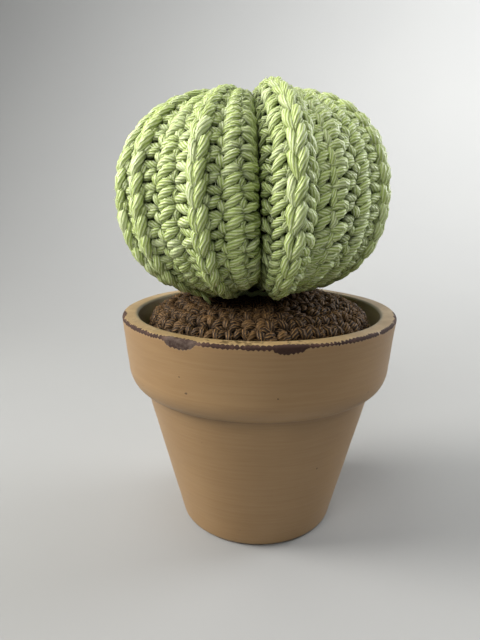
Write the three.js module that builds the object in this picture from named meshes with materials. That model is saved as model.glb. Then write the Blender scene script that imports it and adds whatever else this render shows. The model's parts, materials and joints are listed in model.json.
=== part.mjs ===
// A crocheted cactus in a painted clay pot: a stuffed round body of green yarn with raised ribs,
// sewn to a stuffed brown cushion that is pushed into a small collared pot.
// Millimetres, +Z up, origin at the centre of the pot's foot. The front faces -Y.
import * as THREE from "three";

// ---- Driving dimensions -------------------------------------------------------------------
// Pot
const POT_HEIGHT = 65.2;
const RIM_RADIUS = 40;
const RIM_INNER_RADIUS = 35.4;
const RIM_ROUND = 0.9;
const COLLAR_RADIUS = 38.7; // outside of the collar just above its rounded lower edge
const COLLAR_DEPTH = 14.4; // from the rim down to where the lower edge starts to round
const COLLAR_UNDERCUT = 7; // height of that rounded edge
const NECK_RADIUS = 34.1; // the body, right under the collar
const FOOT_RADIUS = 23.2;
const FOOT_ROUND = 2;
const FLOOR_THICKNESS = 5;
const FLOOR_INNER_RADIUS = 18.8;
const DRAIN_RADIUS = 5;
const POT_SIDES = 56; // flat strips round the pot

// Yarn work
const FABRIC = 3; // thickness of the crocheted covers
const CLEARANCE = 0.35; // between pieces that touch
const GATHER_RADIUS = 3; // the gathered end that the stuffing went in through

// Soil cushion
const SOIL_RADIUS = 32.2;
const SOIL_SHOULDER = 61.5; // height where the dome starts
const SOIL_CROWN = 8.2; // height of the dome
const SOIL_SQUARENESS = 2.8; // exponent of the dome's outline: 2 is an ellipse
const SOIL_STITCHES = 48; // stitches in each round
const SOIL_ROUNDS = 6; // rounds that show
const SOIL_SHOWN = 0.8; // share of the dome that they cover, up from the shoulder
const SOIL_STITCH_RISE = 0.5; // a stitch stands this far out of the cushion, and its edges this far in
const SOIL_CORNER = 3;
const SOIL_GATHER_DEPTH = 4; // the gathered end is drawn up, clear of the drain hole
const SOIL_SLACK = 0.6; // the filling keeps this far inside its cover's lining

// Cactus body. A rib's direction is in degrees: 0 is the front and 90 is +X. Each rib gives the
// number of stitch columns between it and the next. Its rise fades out towards the poles as this
// power of a sine.
const BODY_HALF_WIDTH = 36.6;
const BODY_HALF_HEIGHT = 27.6;
const BODY_ABOVE_RIM = 32.7; // height of the body's middle above the rim
const BODY_ASIDE = -2.4; // the body sits a little to the left on its cushion
const BODY_TILT = 2.6; // degrees, with its right side up
const BODY_SQUARENESS = 2.35;
const DIMPLE_DEPTH = 5; // both poles are gathered into a dimple
const DIMPLE_RADIUS = 8;
const STITCHES_HIGH = 19; // stitches from pole to pole
const STITCH_RISE = 0.6;
const BODY_SLACK = 1.5; // the filling keeps this far inside its cover's lining
const STITCH_SLANT = 0.35; // how far a rib's two strands lean into a V, in rows
const SEAM = { at: 2.5, rise: -9.5, fade: 1.8, columns: 2, halfAngle: 1.6, width: 2.7, strands: [0] };
const RIB = { fade: 0.9, halfAngle: 2.9, width: 2.4, strands: [-1.4, 0, 1.4] };
const FRONT_RIBS = [
  { ...RIB, at: -62.5, rise: 1.6, columns: 1 },
  { ...RIB, at: -47.5, rise: 2, columns: 3 },
  { ...RIB, at: -19.5, rise: 2.4, columns: 3 },
  SEAM,
  { ...RIB, at: 16, rise: 3.8, columns: 2 },
  { ...RIB, at: 32, rise: 1, columns: 3 },
];
const BACK_RIBS = 8;
const BACK_RIB_START = 62;
const BACK_RIB_RISE = 1.7;
const LOBE = { at: 11, rise: 1.6, fade: 1.6, width: 5.5 }; // the lobe right of the seam stands proud

// Thread that sews the body to the cushion, in the dimple under the body
const SEWING_STITCHES = 12;
const SEWING_RADIUS = 7.5;
const SEWING_WEAVE = 0.3; // the thread rises and falls by this much
const SEWING_LEVEL = 0.4; // it lies this share of the way up the gap
const THREAD_RADIUS = 0.8;

// ---- Materials ----------------------------------------------------------------------------
const paint = new THREE.MeshStandardMaterial({ color: 0xa88a5e, roughness: 0.5, metalness: 0 });
const greenYarn = new THREE.MeshStandardMaterial({ color: 0xa9c07c, roughness: 0.6, metalness: 0 });
const brownYarn = new THREE.MeshStandardMaterial({ color: 0x4a3022, roughness: 0.85, metalness: 0 });
const fibre = new THREE.MeshStandardMaterial({ color: 0xf0efea, roughness: 0.95, metalness: 0 });

// ---- Shared shapes ------------------------------------------------------------------------
const { degToRad, mapLinear, smoothstep, clamp } = THREE.MathUtils;
const quarterTurn = Math.PI / 2;
const fullTurn = 4 * quarterTurn;
const bell = (distance, width) => Math.exp(-((distance / width) ** 2));

// A quarter or half of a squared-off ellipse: across and up are shares of its two half axes, and
// the normal points outwards.
function squaredEllipse(angle, halfWidth, halfHeight, squareness) {
  const bend = 2 / squareness;
  const rise = Math.sin(angle);
  const across = Math.max(0, Math.cos(angle)) ** bend;
  const up = Math.sign(rise) * Math.abs(rise) ** bend;
  const normal = new THREE.Vector2(
    across ** (squareness - 1) / halfWidth,
    Math.sign(rise) * Math.abs(up) ** (squareness - 1) / halfHeight,
  );
  return { radius: halfWidth * across, height: halfHeight * up, normal: normal.normalize() };
}

function turned(angle, radius, height) {
  return [radius * Math.sin(angle), -radius * Math.cos(angle), height];
}

// A closed skin round the Z axis, as a lathe's, with every vertex placed by corner(column, row).
// Rows run up the outside. The first and last row lie on the axis, or are the same ring.
function wrap(columns, rows, corner) {
  const line = Array.from({ length: rows }, (_, row) => new THREE.Vector2(1, row));
  const geometry = new THREE.LatheGeometry(line, columns);
  const position = geometry.getAttribute("position");
  for (let column = 0; column <= columns; column++)
    for (let row = 0; row < rows; row++)
      position.setXYZ(column * rows + row, ...corner(column % columns, row));
  geometry.computeVertexNormals();
  return geometry;
}

// ---- Pot ----------------------------------------------------------------------------------
const neckHeight = POT_HEIGHT - COLLAR_DEPTH - COLLAR_UNDERCUT;
const wallLean = Math.atan2(NECK_RADIUS - FOOT_RADIUS, neckHeight);
const innerWallRadius = (z) =>
  mapLinear(z, FLOOR_THICKNESS, POT_HEIGHT, FLOOR_INNER_RADIUS, RIM_INNER_RADIUS);
const innerWallHeight = (radius) =>
  mapLinear(radius, FLOOR_INNER_RADIUS, RIM_INNER_RADIUS, FLOOR_THICKNESS, POT_HEIGHT);

// Turned outline: foot, leaning wall, rounded collar, rim, then down the inside to the drain hole.
function potGeometry() {
  const footCentre = FOOT_RADIUS - (FOOT_ROUND * (1 - Math.sin(wallLean))) / Math.cos(wallLean);
  const collarRound = COLLAR_RADIUS - NECK_RADIUS;
  const rimTop = POT_HEIGHT - RIM_ROUND;
  const outline = new THREE.Path();
  outline.moveTo(DRAIN_RADIUS, 0);
  outline.lineTo(footCentre, 0);
  outline.absarc(footCentre, FOOT_ROUND, FOOT_ROUND, -quarterTurn, -wallLean, false);
  outline.lineTo(NECK_RADIUS, neckHeight);
  outline.absellipse(
    NECK_RADIUS, neckHeight + COLLAR_UNDERCUT, collarRound, COLLAR_UNDERCUT, -quarterTurn, 0, false,
  );
  outline.absarc(RIM_RADIUS - RIM_ROUND, rimTop, RIM_ROUND, 0, quarterTurn, false);
  outline.absarc(RIM_INNER_RADIUS + RIM_ROUND, rimTop, RIM_ROUND, quarterTurn, 2 * quarterTurn, false);
  outline.lineTo(FLOOR_INNER_RADIUS, FLOOR_THICKNESS);
  outline.lineTo(DRAIN_RADIUS, FLOOR_THICKNESS);
  outline.lineTo(DRAIN_RADIUS, 0);
  return new THREE.LatheGeometry(outline.getPoints(2), POT_SIDES).rotateX(quarterTurn);
}

// ---- Soil cushion -------------------------------------------------------------------------
const soilColumns = 2 * SOIL_STITCHES;
const soilLining = 4; // the cover's inside has one column for this many outside

// Rows of the cushion's surface, or of one inside it, from the gathered end under it, up the pot's
// wall and over the dome. A round of stitches takes two rows; a lining skips most of them.
function cushionRows(inset, skip = 1) {
  const foot = FLOOR_THICKNESS + CLEARANCE + inset;
  const side = (z) => innerWallRadius(z) - CLEARANCE - inset;
  const corner = foot + SOIL_CORNER;
  const row = (radius, height) => ({ radius, height });
  const rows = [
    row(GATHER_RADIUS, foot + SOIL_GATHER_DEPTH),
    row(side(foot) / 2, foot + SOIL_GATHER_DEPTH / 2),
    row(side(foot) - SOIL_CORNER, foot),
    row(side(corner), corner),
    row(SOIL_RADIUS - inset, innerWallHeight(SOIL_RADIUS + CLEARANCE)),
  ];
  for (let step = 0; step <= 2 * SOIL_ROUNDS; step += skip) {
    const angle = (SOIL_SHOWN * quarterTurn * step) / (2 * SOIL_ROUNDS);
    const at = squaredEllipse(angle, SOIL_RADIUS - inset, SOIL_CROWN - inset, SOIL_SQUARENESS);
    rows.push({ ...at, height: SOIL_SHOULDER + at.height, step });
  }
  rows.push(row(0, SOIL_SHOULDER + SOIL_CROWN - inset));
  return rows;
}

// Height of the bare dome at a distance from the pot's axis.
function domeHeight(distance) {
  const share = Math.min(1, distance / SOIL_RADIUS);
  return SOIL_SHOULDER + SOIL_CROWN * (1 - share ** SOIL_SQUARENESS) ** (1 / SOIL_SQUARENESS);
}

function soilCoverGeometry() {
  const inside = cushionRows(FABRIC, soilLining).reverse();
  const outside = cushionRows(0);
  const rows = [...inside, ...outside];
  return wrap(soilColumns, rows.length, (column, index) => {
    const { radius, height, normal, step } = rows[index];
    const stitched = index >= inside.length && step !== undefined;
    const place = stitched ? column : column - (column % soilLining);
    const rise = stitched ? SOIL_STITCH_RISE * (step % 2 && column % 2 ? 1 : -1) : 0;
    const [out, up] = stitched ? [normal.x * rise, normal.y * rise] : [0, 0];
    return turned((place / soilColumns) * fullTurn, radius + out, height + up);
  });
}

function soilStuffingGeometry() {
  const columns = soilColumns / soilLining;
  const rows = cushionRows(FABRIC + SOIL_SLACK, soilLining);
  rows.unshift({ radius: 0, height: rows[0].height });
  return wrap(columns, rows.length, (column, index) =>
    turned((column / columns) * fullTurn, rows[index].radius, rows[index].height));
}

// ---- Cactus body --------------------------------------------------------------------------
// The body's outline from its lower pole to its upper one, or one that lies inset inside it.
class Meridian extends THREE.Curve {
  constructor(inset) {
    super();
    this.halfWidth = BODY_HALF_WIDTH - inset;
    this.halfHeight = BODY_HALF_HEIGHT - inset;
  }

  getPoint(t, target = new THREE.Vector2()) {
    const angle = mapLinear(t, 0, 1, -quarterTurn, quarterTurn);
    const { radius, height } = squaredEllipse(angle, this.halfWidth, this.halfHeight, BODY_SQUARENESS);
    return target.set(radius, height - Math.sign(height) * DIMPLE_DEPTH * bell(radius, DIMPLE_RADIUS));
  }
}

const skin = new Meridian(0);
const backRibs = Array.from({ length: BACK_RIBS }, (_, index) => ({
  ...RIB,
  at: mapLinear(index, 0, BACK_RIBS, BACK_RIB_START, FRONT_RIBS[0].at + 360),
  rise: BACK_RIB_RISE,
  columns: 3,
}));
const ribs = [...FRONT_RIBS, ...backRibs];

// Distance round the body's widest part, in millimetres, between two directions in degrees.
function apart(a, b) {
  const turn = Math.abs(a - b) % 360;
  return degToRad(Math.min(turn, 360 - turn)) * BODY_HALF_WIDTH;
}

// How far the ribs, the seam and the proud lobe push the surface out, at a direction and a share
// of the way from pole to pole. They fade out where the yarn is gathered.
function swell(at, share) {
  const belly = Math.max(0, Math.sin(Math.PI * share));
  return [...ribs, LOBE].reduce(
    (sum, rib) => sum + rib.rise * belly ** rib.fade * bell(apart(at, rib.at), rib.width), 0,
  );
}

// The vertical lines of vertices: the strands of each rib, then the edges and middles of the
// stitch columns up to the next rib. slant lifts a line by a part of a row.
function bodyLines() {
  return ribs.flatMap((rib, index) => {
    const next = ribs[(index + 1) % ribs.length];
    const start = rib.at + rib.halfAngle;
    const end = next.at - next.halfAngle + (index + 1 < ribs.length ? 0 : 360);
    const pitch = (end - start) / rib.columns;
    const strands = rib.strands.map((offset) => ({
      at: rib.at + offset, raised: true, slant: offset ? STITCH_SLANT : -STITCH_SLANT,
    }));
    const between = Array.from({ length: 2 * rib.columns + 1 }, (_, half) => ({
      at: start + (pitch * half) / 2, raised: half % 2 === 1, slant: half % 2 ? 0 : STITCH_SLANT,
    }));
    return [...strands, ...between];
  });
}

// Sets a point of the upright body, about its middle, where the tilted body has it.
function seated(x, y, z) {
  const tilt = degToRad(BODY_TILT);
  return [
    BODY_ASIDE + x * Math.cos(tilt) - z * Math.sin(tilt),
    y,
    POT_HEIGHT + BODY_ABOVE_RIM + z * Math.cos(tilt) + x * Math.sin(tilt),
  ];
}

// A point on the body: direction in degrees, share from the lower pole to the upper, and how far
// it stands out from the swollen surface.
function onBody(meridian, at, share, rise) {
  const point = meridian.getPointAt(share);
  const tangent = meridian.getTangentAt(share);
  const out = rise + swell(at, share);
  const radius = Math.max(0, point.x + tangent.y * out);
  return seated(...turned(degToRad(at), radius, point.y - tangent.x * out));
}

const bodyColumns = bodyLines();
const gatherShare = GATHER_RADIUS / skin.getLength(); // share of the outline that the opening takes
const liningRows = 9;
// The cover's inside has lines only at each rib's middle and half way to the next rib.
const liningLines = bodyColumns.map((line) =>
  ribs.flatMap((rib, index) => {
    const next = ribs[(index + 1) % ribs.length];
    return [rib.at, (rib.at + next.at + (index + 1 < ribs.length ? 0 : 360)) / 2];
  }).reduce((best, at) => (apart(at, line.at) < apart(best, line.at) ? at : best)));

function cactusCoverGeometry() {
  const rows = 2 * STITCHES_HIGH;
  const lining = new Meridian(FABRIC);
  return wrap(bodyColumns.length, liningRows + rows + 1, (column, index) => {
    if (index < liningRows) {
      const share = mapLinear(index, 0, liningRows - 1, 1, gatherShare);
      return onBody(lining, liningLines[column], share, 0);
    }
    const { at, raised, slant } = bodyColumns[column];
    const row = index - liningRows;
    const inner = row > 0 && row < rows;
    const share = mapLinear(row + (inner ? slant : 0), 0, rows, gatherShare, 1);
    const relief = (raised ? 1 : -1) * STITCH_RISE * (raised && row % 2 ? -1 : 1);
    const gathered = smoothstep(Math.min(share, 1 - share), 0.05, 0.2);
    return onBody(skin, at, clamp(share, 0, 1), inner ? relief * gathered : 0);
  });
}

function cactusStuffingGeometry() {
  const lines = [...new Set(liningLines)];
  const heart = new Meridian(FABRIC + BODY_SLACK);
  const foot = seated(0, 0, heart.getPointAt(gatherShare).y);
  return wrap(lines.length, liningRows + 1, (column, index) => {
    const share = mapLinear(index, 1, liningRows, gatherShare, 1);
    return index === 0 ? foot : onBody(heart, lines[column], share, 0);
  });
}

// ---- Joining thread -----------------------------------------------------------------------
// Where the thread lies in the gap between body and cushion, on a ring inside the body's foot.
function crease(at) {
  const share = SEWING_RADIUS / skin.getLength();
  const [x, y, above] = onBody(skin, at, share, 0);
  const below = domeHeight(Math.hypot(x, y));
  return { x, y, height: mapLinear(SEWING_LEVEL, 0, 1, below, above) };
}

// Whip stitches all round the dimple, as one closed ring of thread that weaves up and down.
function joiningThreadGeometry() {
  const columns = 5 * SEWING_STITCHES;
  const sides = 5;
  const places = Array.from({ length: columns }, (_, column) => crease((360 * column) / columns));
  return wrap(columns, sides + 1, (column, row) => {
    const angle = (column / columns) * fullTurn;
    const section = ((row % sides) / sides) * fullTurn;
    const { x, y, height } = places[column];
    const weave = SEWING_WEAVE * Math.sin(SEWING_STITCHES * angle);
    const out = THREAD_RADIUS * Math.cos(section);
    const up = THREAD_RADIUS * Math.sin(section);
    return [x + out * Math.sin(angle), y - out * Math.cos(angle), height + weave + up];
  });
}

// ---- Assembly -----------------------------------------------------------------------------
function piece(name, geometry, material) {
  const mesh = new THREE.Mesh(geometry, material);
  mesh.name = name;
  return mesh;
}

const cactus = new THREE.Group();
cactus.add(
  piece("pot", potGeometry(), paint),
  piece("soil_stuffing", soilStuffingGeometry(), fibre),
  piece("soil_cover", soilCoverGeometry(), brownYarn),
  piece("cactus_stuffing", cactusStuffingGeometry(), fibre),
  piece("cactus_cover", cactusCoverGeometry(), greenYarn),
  piece("joining_thread", joiningThreadGeometry(), greenYarn),
);
export default cactus;
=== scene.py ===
# A crocheted cactus in a painted clay pot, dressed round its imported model.
# Metres, +Z up, origin at the centre of the pot's foot, front to -Y.
import json
import math

import bmesh
import bpy
import numpy as np
from mathutils import Matrix, Vector, noise

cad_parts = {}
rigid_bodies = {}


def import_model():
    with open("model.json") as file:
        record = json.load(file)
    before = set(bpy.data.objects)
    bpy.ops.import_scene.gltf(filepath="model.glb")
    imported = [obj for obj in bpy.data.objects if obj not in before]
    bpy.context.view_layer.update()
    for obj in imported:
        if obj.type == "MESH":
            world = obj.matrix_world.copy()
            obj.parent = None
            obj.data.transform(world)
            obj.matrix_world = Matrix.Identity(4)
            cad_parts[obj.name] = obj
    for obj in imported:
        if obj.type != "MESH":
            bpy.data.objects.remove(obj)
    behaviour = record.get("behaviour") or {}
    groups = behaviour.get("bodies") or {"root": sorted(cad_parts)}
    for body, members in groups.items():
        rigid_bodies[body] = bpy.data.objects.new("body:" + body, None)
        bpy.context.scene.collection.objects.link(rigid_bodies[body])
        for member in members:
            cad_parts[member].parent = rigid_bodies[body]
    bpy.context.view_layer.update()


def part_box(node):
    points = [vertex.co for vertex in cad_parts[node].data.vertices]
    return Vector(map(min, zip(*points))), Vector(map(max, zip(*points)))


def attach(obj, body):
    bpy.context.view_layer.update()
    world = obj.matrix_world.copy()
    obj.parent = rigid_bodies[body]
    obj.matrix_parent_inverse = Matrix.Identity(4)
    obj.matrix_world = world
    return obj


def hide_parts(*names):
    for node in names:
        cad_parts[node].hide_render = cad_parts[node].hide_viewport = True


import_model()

# ---- Camera ---------------------------------------------------------------------------------
# A close view of the front, from the height of the cactus's middle, looking down a little.
PICTURE_HEIGHT = 640
FOCAL_PIXELS = 520
SENSOR = 36
VIEW_TARGET = Vector((-0.0055, 0, 0.0614))
VIEW_DISTANCE = 0.1575
VIEW_DOWN = math.radians(13.9)
VIEW_ROLL = 0.0035

camera = bpy.data.objects.new("camera", bpy.data.cameras.new("camera"))
camera.data.sensor_width = SENSOR
camera.data.lens = SENSOR * FOCAL_PIXELS / PICTURE_HEIGHT
camera.data.clip_start = 0.01
forward = Vector((0, math.cos(VIEW_DOWN), -math.sin(VIEW_DOWN)))
right = Vector((1, 0, 0))
looking = Matrix((right, right.cross(forward), -forward)).transposed()
turned = (looking @ Matrix.Rotation(VIEW_ROLL, 3, "Z")).to_4x4()
camera.matrix_world = Matrix.Translation(VIEW_TARGET - forward * VIEW_DISTANCE) @ turned
bpy.context.scene.collection.objects.link(camera)
bpy.context.scene.camera = camera

# ---- Floor and light ------------------------------------------------------------------------
# A plain pale cloth that runs up behind the pot in a soft sweep. Soft windows light it from both
# sides, above and in front, and one more lights the sweep.
FLOOR_HALF_WIDTH = 2.4
FLOOR_FRONT = -2.4
SWEEP_START = 0.16
SWEEP_RADIUS = 0.3
SWEEP_TOP = 1.4
SWEEP_STEPS = 24
ROOM_LIGHT = 0.1


def linear(red, green, blue):
    """A colour given as the eye sees it, 0 to 255, as the shaders take it."""
    parts = [c / 255 for c in (red, green, blue)]
    return (*[c / 12.92 if c < 0.04 else ((c + 0.055) / 1.055) ** 2.4 for c in parts], 1)


class Wire:
    """A socket in a node tree. Arithmetic on it adds the maths nodes."""

    def __init__(self, tree, socket=None):
        self.tree = tree
        self.socket = socket

    def node(self, kind, settings=None, inputs=None, output=0):
        """Adds a node: its settings first, then values or wires for its sockets."""
        made = self.tree.nodes.new(kind)
        for name, value in (settings or {}).items():
            setattr(made, name, value)
        for name, value in (inputs or {}).items():
            if isinstance(value, Wire):
                self.tree.links.new(value.socket, made.inputs[name])
            else:
                made.inputs[name].default_value = value
        return Wire(self.tree, made.outputs[output])

    def out(self, name):
        """Another output of the node that this wire comes from."""
        return Wire(self.tree, self.socket.node.outputs[name])

    def maths(self, operation, *values):
        """A maths node, or a vector maths node where one of the values is a vector."""
        vector = any(
            isinstance(v, tuple) or (isinstance(v, Wire) and v.socket.type in ("VECTOR", "RGBA"))
            for v in values
        )
        kind = "ShaderNodeVectorMath" if vector else "ShaderNodeMath"
        given = [(v, v, v) if vector and isinstance(v, (int, float)) else v for v in values]
        return self.node(kind, {"operation": operation}, dict(enumerate(given)))

    def __add__(self, other):
        return self.maths("ADD", self, other)

    def __radd__(self, other):
        return self.maths("ADD", other, self)

    def __sub__(self, other):
        return self.maths("SUBTRACT", self, other)

    def __rsub__(self, other):
        return self.maths("SUBTRACT", other, self)

    def __mul__(self, other):
        return self.maths("MULTIPLY", self, other)

    def __rmul__(self, other):
        return self.maths("MULTIPLY", other, self)

    def __truediv__(self, other):
        return self.maths("DIVIDE", self, other)

    def __rtruediv__(self, other):
        return self.maths("DIVIDE", other, self)

    def step(self, low, high):
        """0 below low, 1 above high, and a soft step between."""
        return self.node(
            "ShaderNodeMapRange", {"interpolation_type": "SMOOTHSTEP"},
            {"Value": self, "From Min": low, "From Max": high},
        )

    def parts(self):
        """The X, Y and Z of this vector."""
        return [self.node("ShaderNodeSeparateXYZ", inputs={"Vector": self}, output=axis)
                for axis in "XYZ"]

    def mix(self, first, second):
        """Two colours mixed, with this value as the share of the second."""
        return self.node(
            "ShaderNodeMix", {"data_type": "RGBA"}, {0: self, 6: first, 7: second}, output=2)

    def grain(self, scale, detail=2.0, roughness=0.5, output=0):
        """Noise over this vector."""
        return self.node("ShaderNodeTexNoise", {}, {
            "Vector": self, "Scale": scale, "Detail": detail, "Roughness": roughness}, output)

    def bump(self, distance):
        """A normal from this height."""
        return self.node("ShaderNodeBump", {}, {"Height": self, "Distance": distance})


def finish(name, constants):
    """A new material. Gives it and a wire to its shader's tree, with its fixed values set."""
    material = bpy.data.materials.new(name)
    material.use_nodes = True
    shader = material.node_tree.nodes["Principled BSDF"]
    for socket, value in constants.items():
        shader.inputs[socket].default_value = value
    return material, Wire(material.node_tree)


def wear(material, **sockets):
    """Links wires to the sockets of a material's shader: base_color becomes Base Color."""
    shader = material.node_tree.nodes["Principled BSDF"]
    for name, wire in sockets.items():
        socket = shader.inputs[name.replace("_", " ").title()]
        material.node_tree.links.new(wire.socket, socket)


def add_mesh(name, points, faces):
    """A smooth-shaded piece from its points and faces, placed in the scene."""
    mesh = bpy.data.meshes.new(name)
    mesh.from_pydata([tuple(p) for p in points], [], faces)
    mesh.update()
    mesh.polygons.foreach_set("use_smooth", [True] * len(mesh.polygons))
    thing = bpy.data.objects.new(name, mesh)
    bpy.context.scene.collection.objects.link(thing)
    return thing


sweep = [(FLOOR_FRONT, 0.0)]
sweep += [
    (SWEEP_START + SWEEP_RADIUS * math.cos(turn), SWEEP_RADIUS * (1 + math.sin(turn)))
    for turn in np.linspace(-math.pi / 2, 0, SWEEP_STEPS + 1)
]
sweep += [(SWEEP_START + SWEEP_RADIUS, SWEEP_TOP)]
floor = add_mesh(
    "floor",
    [(x, y, z) for y, z in sweep for x in (-FLOOR_HALF_WIDTH, FLOOR_HALF_WIDTH)],
    [(2 * i, 2 * i + 1, 2 * i + 3, 2 * i + 2) for i in range(len(sweep) - 1)],
)
cloth, tree = finish("pale_cloth", {"Roughness": 0.9})
place = tree.node("ShaderNodeTexCoord", output="Object")
tone = place.grain(9.0)
wear(cloth, base_color=tone.mix(linear(160, 160, 158), linear(156, 156, 155)))
floor.data.materials.append(cloth)

world = bpy.data.worlds.new("room")
world.use_nodes = True
surround = world.node_tree.nodes["Background"]
surround.inputs["Color"].default_value = linear(240, 243, 248)
surround.inputs["Strength"].default_value = ROOM_LIGHT
bpy.context.scene.world = world
bpy.context.scene.view_settings.view_transform = "Standard"


def window(name, place, aim, size, power, spread, colour):
    """A soft square area light whose beam opens by the angle spread, in degrees."""
    light = bpy.data.lights.new(name, "AREA")
    light.size, light.energy, light.color = size, power, colour[:3]
    light.spread = math.radians(spread)
    lamp = bpy.data.objects.new(name, light)
    lamp.location = place
    lamp.rotation_euler = (Vector(aim) - Vector(place)).to_track_quat("-Z", "Y").to_euler()
    bpy.context.scene.collection.objects.link(lamp)


window("window_left", (-0.75, -0.02, 0.48), (0, 0, 0.08), 0.42, 1.66, 66, linear(255, 253, 249))
window("window_top", (-0.2, 0.0, 0.75), (0, 0, 0.08), 0.4, 0.9, 120, linear(255, 255, 253))
window("window_front", (-0.26, -0.58, 0.64), (0, 0, 0.1), 0.4, 0.78, 90, linear(255, 255, 253))
window("window_right", (0.62, 0.2, 0.36), (0, 0, 0.08), 0.35, 1.0, 90, linear(250, 252, 255))
window("window_back", (0.5, -0.05, 1.0), (0.36, 0.46, 0.6), 0.3, 7.5, 80, linear(253, 254, 255))

# ---- Pot ------------------------------------------------------------------------------------
# A small thrown clay pot with a collar, brushed with satin tan paint. The paint is worn through
# to a purple-brown coat along the outer edge of the rim, in a toothed band with larger chips.
POT_HEIGHT = 0.0652
RIM_RADIUS = 0.04
RIM_INNER_RADIUS = 0.0354
RIM_ROUND = 0.0009
COLLAR_RADIUS = 0.0387
COLLAR_DEPTH = 0.0144
COLLAR_UNDERCUT = 0.007
NECK_RADIUS = 0.0341
FOOT_RADIUS = 0.0232
FOOT_ROUND = 0.002
FLOOR_THICKNESS = 0.005
FLOOR_INNER_RADIUS = 0.0188
DRAIN_RADIUS = 0.005
POT_SIDES = 240
POT_STEP = 0.0012

# The maker's hand leaves shallow waves in the clay, drawn out round the pot. The foot stays flat.
FOOT_FLAT = 0.001
HAND_UNEVENNESS = 0.00012
HAND_WAVES = 70
HAND_FLATNESS = 2.5
HAND_LIFT = 0.6


def arc(centre, radii, start, end, steps=8):
    """Part of an ellipse, as points of radius and height."""
    turn = np.linspace(start, end, steps + 1)
    return [(centre[0] + radii[0] * math.cos(t), centre[1] + radii[1] * math.sin(t)) for t in turn]


def lathe(name, outline, sides):
    """A closed outline of radius and height turned round the Z axis."""
    turn = np.arange(sides) * 2 * math.pi / sides
    rows = len(outline)
    points = [(r * math.sin(t), -r * math.cos(t), z) for t in turn for r, z in outline]
    faces = [
        (a * rows + i, ((a + 1) % sides) * rows + i,
         ((a + 1) % sides) * rows + (i + 1) % rows, a * rows + (i + 1) % rows)
        for a in range(sides) for i in range(rows)
    ]
    return add_mesh(name, points, faces)


def finer(outline, step):
    """The same outline with points no further apart than step."""
    points = []
    for (r0, z0), (r1, z1) in zip(outline, outline[1:] + outline[:1]):
        parts = max(1, round(math.hypot(r1 - r0, z1 - z0) / step))
        points += [(r0 + (r1 - r0) * k / parts, z0 + (z1 - z0) * k / parts) for k in range(parts)]
    return points


def outward(thing):
    """Merges doubled points and turns every face outwards."""
    mesh = bmesh.new()
    mesh.from_mesh(thing.data)
    bmesh.ops.remove_doubles(mesh, verts=mesh.verts, dist=1e-7)
    bmesh.ops.recalc_face_normals(mesh, faces=mesh.faces)
    mesh.to_mesh(thing.data)
    mesh.free()


neck_height = POT_HEIGHT - COLLAR_DEPTH - COLLAR_UNDERCUT
wall_lean = math.atan2(NECK_RADIUS - FOOT_RADIUS, neck_height)
foot_centre = FOOT_RADIUS - FOOT_ROUND * (1 - math.sin(wall_lean)) / math.cos(wall_lean)
collar_round = COLLAR_RADIUS - NECK_RADIUS
quarter = math.pi / 2
outline = [(DRAIN_RADIUS, 0.0)]
outline += arc((foot_centre, FOOT_ROUND), (FOOT_ROUND, FOOT_ROUND), -quarter, -wall_lean)
outline += arc((NECK_RADIUS, neck_height + COLLAR_UNDERCUT), (collar_round, COLLAR_UNDERCUT),
               -quarter, 0, 14)
rim_round_height = POT_HEIGHT - RIM_ROUND
outline += arc((RIM_RADIUS - RIM_ROUND, rim_round_height), (RIM_ROUND, RIM_ROUND), 0, quarter)
outline += arc((RIM_INNER_RADIUS + RIM_ROUND, rim_round_height), (RIM_ROUND, RIM_ROUND),
               quarter, 2 * quarter)
outline += [(FLOOR_INNER_RADIUS, FLOOR_THICKNESS), (DRAIN_RADIUS, FLOOR_THICKNESS)]
pot = lathe("painted_pot", finer(outline, POT_STEP), POT_SIDES)
outward(pot)
for vertex in pot.data.vertices:
    x, y, z = vertex.co
    if z >= FOOT_FLAT:
        rise = HAND_UNEVENNESS * noise.noise(Vector((x, y, HAND_FLATNESS * z)) * HAND_WAVES)
        wider = 1 + rise / RIM_RADIUS
        vertex.co = (x * wider, y * wider, z + HAND_LIFT * rise)

# The brush went round the pot, so its strokes are drawn out sideways. A dark line painted in
# the crease under the collar stands for the shade that falls there.
STROKE_LENGTH = 22.0
paint, tree = finish("painted_clay", {"IOR": 1.45})
place = tree.node("ShaderNodeTexCoord", output="Object")
x, y, z = place.parts()
angle = tree.maths("ARCTAN2", x, 0 - y)
radius = tree.maths("SQRT", x * x + y * y)
level = place * (1.0, 1.0, STROKE_LENGTH)
strokes = level.grain(62.0, 4.0, 0.6)
fine_strokes = level.grain(240.0, 3.0, 0.6)
patches = place.grain(38.0, 3.0)
tan = (strokes * 0.55 + patches * 0.45).step(0.3, 0.72).mix(
    linear(144, 113, 75), linear(154, 124, 86))
specks = place.grain(420.0, 1.0).step(0.78, 0.8)
tan = (specks * 0.8).mix(tan, linear(76, 56, 38))
# Painted shade: a dark line along the crease under the collar.
crease_painted_shade = 1 - tree.maths("ABSOLUTE", z - neck_height).step(0.0001, 0.0008)
tan = (crease_painted_shade * 0.6).mix(tan, linear(78, 56, 34))

# The rim's top is yellower and stained, with dark smears at the front left.
on_top = z.step(rim_round_height, POT_HEIGHT - 0.0004)
stain = place.grain(150.0, 4.0, 0.65)
top_tone = stain.step(0.35, 0.7).mix(linear(146, 120, 80), linear(168, 142, 102))
smears = (place.grain(900.0, 3.0, 0.7) * 0.5 + stain * 0.5).step(0.53, 0.6)
front_smears = smears * angle.step(-1.4, -0.8) * (1 - angle.step(0.1, 0.5))
top_tone = front_smears.mix(top_tone, linear(84, 66, 38))
coat = on_top.mix(tan, top_tone)
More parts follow.
